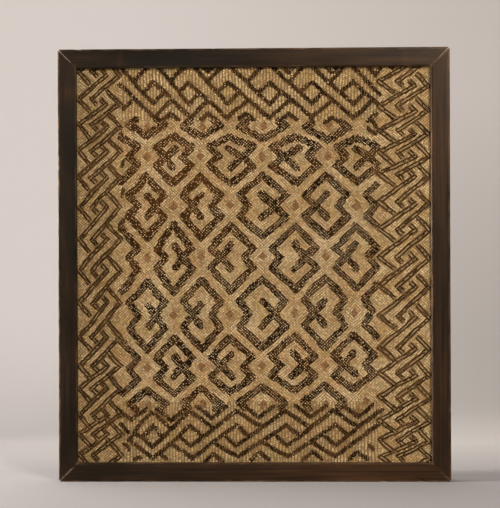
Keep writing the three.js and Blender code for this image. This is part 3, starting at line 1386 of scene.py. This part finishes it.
# Painted shade: the floor is darker than the wall, and the right side and the foot of the wall on the right
# are darker than the left.
LEFT_TONES = ((149, 145, 144), (191, 186, 183), (192, 187, 184))
RIGHT_TONES = ((118, 114, 112), (154, 149, 145), (181, 175, 171))
LEFT_TO_RIGHT = (-0.6, 0.8)
FLOOR_TO_WALL = (0.1, 0.5)
FOOT_TO_WALL = (0.1, 0.9)


def cove():
    profile = [(0.001, 0.0), (FLOOR_REACH, 0.0)]
    for turn in np.radians(np.linspace(7.5, 90, 12)):
        profile.append((FLOOR_REACH + CURVE * math.sin(turn), CURVE * (1 - math.cos(turn))))
    profile.append((FLOOR_REACH + CURVE, WALL_TOP))
    points = [
        (out * math.cos(turn), out * math.sin(turn), up)
        for turn in np.linspace(0, 2 * math.pi, SECTORS, endpoint=False)
        for out, up in profile
    ]
    mesh = bpy.data.meshes.new("cove")
    mesh.from_pydata(points, [], grid_faces(SECTORS, len(profile), rows_meet=True))
    mesh.shade_smooth()
    material, tree, shader = new_finish("cove_paper", 0.9)
    x, y, z = coordinates(tree, "Object").axes("XYZ")
    left, right = ([(*linear(*tone), 1.0) for tone in tones] for tones in (LEFT_TONES, RIGHT_TONES))
    floor, foot, wall = (ranged(x, *LEFT_TO_RIGHT).mixed(*ends) for ends in zip(left, right))
    paper = ranged(y, *FLOOR_TO_WALL).mixed(floor, ranged(z, *FOOT_TO_WALL).mixed(foot, wall))
    tree.links.new(paper.output, shader.inputs["Base Color"])
    mesh.materials.append(material)
    return add_piece("cove", mesh)


cove()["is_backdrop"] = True
print("cove", FLOOR_REACH + CURVE, "m in radius")

# %% [markdown]
# ## Light
#
# A soft light stands in front, above and to the right: it puts the narrow shadows of the top and the right
# rail on the cloth. A second one skims in from the left, almost in the plane of the panel, and draws its
# shadow along the floor. Weaker ones fill from the front and light the paper behind.

# %% Light the scene
def soft_light(name, place, target, size, watts, tint, spread=180):
    lamp = bpy.data.lights.new(name, "AREA")
    lamp.shape = "SQUARE"
    lamp.size = size
    lamp.energy = watts
    lamp.color = tint
    lamp.spread = math.radians(spread)
    light = bpy.data.objects.new(name, lamp)
    bpy.context.scene.collection.objects.link(light)
    light.location = place
    light.rotation_euler = (Vector(target) - Vector(place)).to_track_quat("-Z", "Y").to_euler()
    light.visible_camera = False


soft_light("key", (1.05, -2.2, 1.45), (0, 0, 0.33), size=0.6, watts=63, tint=(1.0, 0.965, 0.925))
soft_light(
    "side", (-2.4, -0.27, 0.55), (0.1, 0, 0.27), size=0.22, watts=11, tint=(1.0, 0.985, 0.97), spread=40
)
soft_light("fill", (-1.2, -2.4, 1.0), (0, 0, 0.33), size=1.2, watts=10, tint=(1.0, 0.97, 0.94))
soft_light("paper", (-0.4, 0.7, 3.0), (-0.3, 2.4, 1.4), size=2.0, watts=96, tint=(1.0, 0.97, 0.95))
world = bpy.data.worlds.new("studio")
world.use_nodes = True
sky = world.node_tree.nodes["Background"].inputs
sky["Color"].default_value = (1.0, 0.98, 0.96, 1.0)
sky["Strength"].default_value = 0.3
bpy.context.scene.world = world
bpy.context.scene.view_settings.view_transform = "Standard"
print(len(bpy.data.lights), "lights")

# %% [markdown]
# ## The camera
#
# A picture of a flat panel is taken from straight in front and from some way off, so that its sides
# stay straight. The camera's place, turns and focal length come from where the four corners of the frame
# stand in the photograph, which fix them for a flat thing of known size.

# %% Place the camera
SENSOR = 36.0
FOCAL_PIXELS = 1626.2
PHOTO_HEIGHT = 508
CAMERA_PLACE = (0.0669, -2.5, 0.350)
CAMERA_TURNS = ((1.671, "Z"), (89.959, "X"), (-0.217, "Z"))
lens = bpy.data.cameras.new("camera")
lens.sensor_width = SENSOR
lens.lens = SENSOR * FOCAL_PIXELS / PHOTO_HEIGHT
camera = bpy.data.objects.new("camera", lens)
bpy.context.scene.collection.objects.link(camera)
pose = Matrix.Translation(CAMERA_PLACE)
for degrees, axis in CAMERA_TURNS:
    pose = pose @ Matrix.Rotation(math.radians(degrees), 4, axis)
camera.matrix_world = pose
bpy.context.scene.camera = camera
print("lens", round(lens.lens, 1), "mm")

# %% [markdown]
# ## What belongs to what
#
# Nothing moves here, so every piece rides on the one body. The rails stand for their solids, and the
# ground cloth stands for the cloth's solid and carries the stitches. It is a sheet, cut larger than the
# opening and held stretched in the groove.

# %% Tie the pieces to the frame
for name, rail in rails.items():
    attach(rail, "root")
    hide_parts(name)
for piece in (ground, *sewn):
    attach(piece, "root")
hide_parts("cloth")
low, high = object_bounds()
print("visual box in mm:", [round(v / MM, 1) for v in (*low, *high)])
